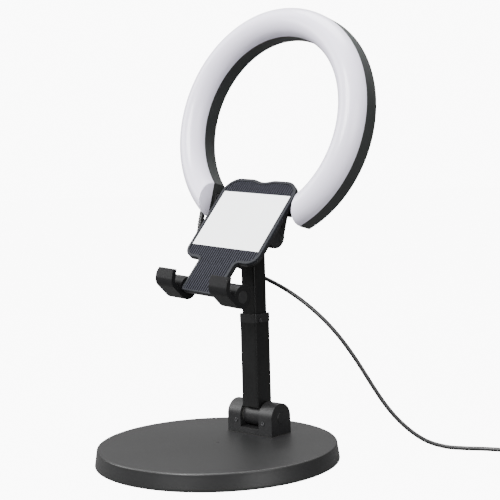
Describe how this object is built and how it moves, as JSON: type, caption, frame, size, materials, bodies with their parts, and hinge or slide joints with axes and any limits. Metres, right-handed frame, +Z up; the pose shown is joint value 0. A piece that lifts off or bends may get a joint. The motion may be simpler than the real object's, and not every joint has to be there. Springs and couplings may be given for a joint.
{
  "type": "ring light",
  "caption": "Desk ring light with an open dome-fronted ring, a mirrored tilting phone plate with folding hooks, a telescopic post and a weighted round base",
  "frame": {"origin": "centre of the round base's underside, on the table", "axes": "+Z up, -Y the front that the ring and the phone plate face, +X to the right seen from behind the light, which is the right of the picture"},
  "size_m": [0.3542, 0.3196, 0.3678],
  "materials": {
    "rubber_black": "matt",
    "steel_dark": "rolled",
    "base_paint": "satin black",
    "steel_bright": "zinc plated",
    "black_plastic": "fine satin",
    "screw_black": "blackened",
    "nylon": "natural",
    "tube_paint": "semi-gloss black",
    "cap_plastic": "satin",
    "rim_plastic": "satin grey",
    "pad_rubber": "ribbed",
    "mirror_glass": "polished",
    "hook_plastic": "satin black",
    "housing_plastic": "fine texture",
    "board_white": "solder mask",
    "led_yellow": "clear",
    "diffuser_white": "translucent satin",
    "cord_rubber": "satin",
    "plug_steel": "bright"
  },
  "bodies": {
    "base": {"base_pad": "rubber_black", "base_plate": "steel_dark", "base_weight": "steel_dark", "base_cover": "base_paint", "base_screws": "steel_bright", "hinge_bracket": "black_plastic", "bracket_bolts": "steel_bright", "bracket_front_screws": "screw_black", "hinge_axle": "steel_bright", "axle_caps": "black_plastic", "cord": "cord_rubber", "cord_coil": "cord_rubber", "cord_tail": "cord_rubber", "usb_plug_body": "cord_rubber", "usb_plug_shell": "plug_steel"},
    "column_lower": {"lower_knuckle": "black_plastic", "friction_washers": "nylon", "outer_tube": "tube_paint", "lock_collar": "black_plastic", "collar_screw": "screw_black", "cord_upper": "cord_rubber"},
    "column_upper": {"inner_tube": "tube_paint", "slide_shoe": "nylon", "ball_stud": "black_plastic"},
    "head": {"head_housing_front": "black_plastic", "head_housing_rear": "black_plastic", "head_clamp_screws": "screw_black", "tilt_bolt_left": "cap_plastic", "tilt_bolt_right": "cap_plastic"},
    "holder": {"holder_bracket": "black_plastic", "holder_screws": "screw_black", "holder_back": "black_plastic", "holder_frame": "rim_plastic", "grip_pad": "pad_rubber", "face_mirror": "mirror_glass", "hook_axle": "steel_bright", "hook_axle_caps": "cap_plastic"},
    "hook_left": {"hook_left": "hook_plastic"},
    "hook_right": {"hook_right": "hook_plastic"},
    "ring": {"ring_bridge": "black_plastic", "bridge_screws": "screw_black", "ring_housing": "housing_plastic", "housing_screws": "screw_black", "led_board": "board_white", "led_chips": "led_yellow", "diffuser": "diffuser_white", "strain_relief": "cord_rubber"}
  },
  "joints": [
    {"name": "base_fold", "type": "hinge", "parent": "base", "child": "column_lower", "pos_m": [0, 0.0504, 0.0283], "axis": [1, 0, 0], "range_deg": [-15, 45], "deforming": ["cord"]},
    {"name": "column_slide", "type": "slide", "parent": "column_lower", "child": "column_upper", "axis": [0, 0, 1], "range_m": [-0.045, 0], "deforming": ["cord_upper"]},
    {"name": "head_level", "type": "hinge", "parent": "column_upper", "child": "head", "pos_m": [0, 0.0486, 0.1798], "axis": [0, 1, 0], "range_deg": [-14.5, 5.5]},
    {"name": "holder_tilt", "type": "hinge", "parent": "head", "child": "holder", "pos_m": [0, 0.0486, 0.1798], "axis": [-0.9969, 0, 0.0785], "range_deg": [-30, 8]},
    {"name": "ring_tilt", "type": "hinge", "parent": "head", "child": "ring", "pos_m": [0, 0.0486, 0.1798], "axis": [-0.9969, 0, 0.0785], "range_deg": [-8, 75]},
    {"name": "hook_left_fold", "type": "hinge", "parent": "holder", "child": "hook_left", "pos_m": [-0.00337, -0.00344, 0.13695], "axis": [-0.9969, 0, 0.0785], "range_deg": [0, 90]},
    {"name": "hook_right_fold", "type": "hinge", "parent": "holder", "child": "hook_right", "pos_m": [-0.00337, -0.00344, 0.13695], "axis": [-0.9969, 0, 0.0785], "range_deg": [0, 90]}
  ]
}
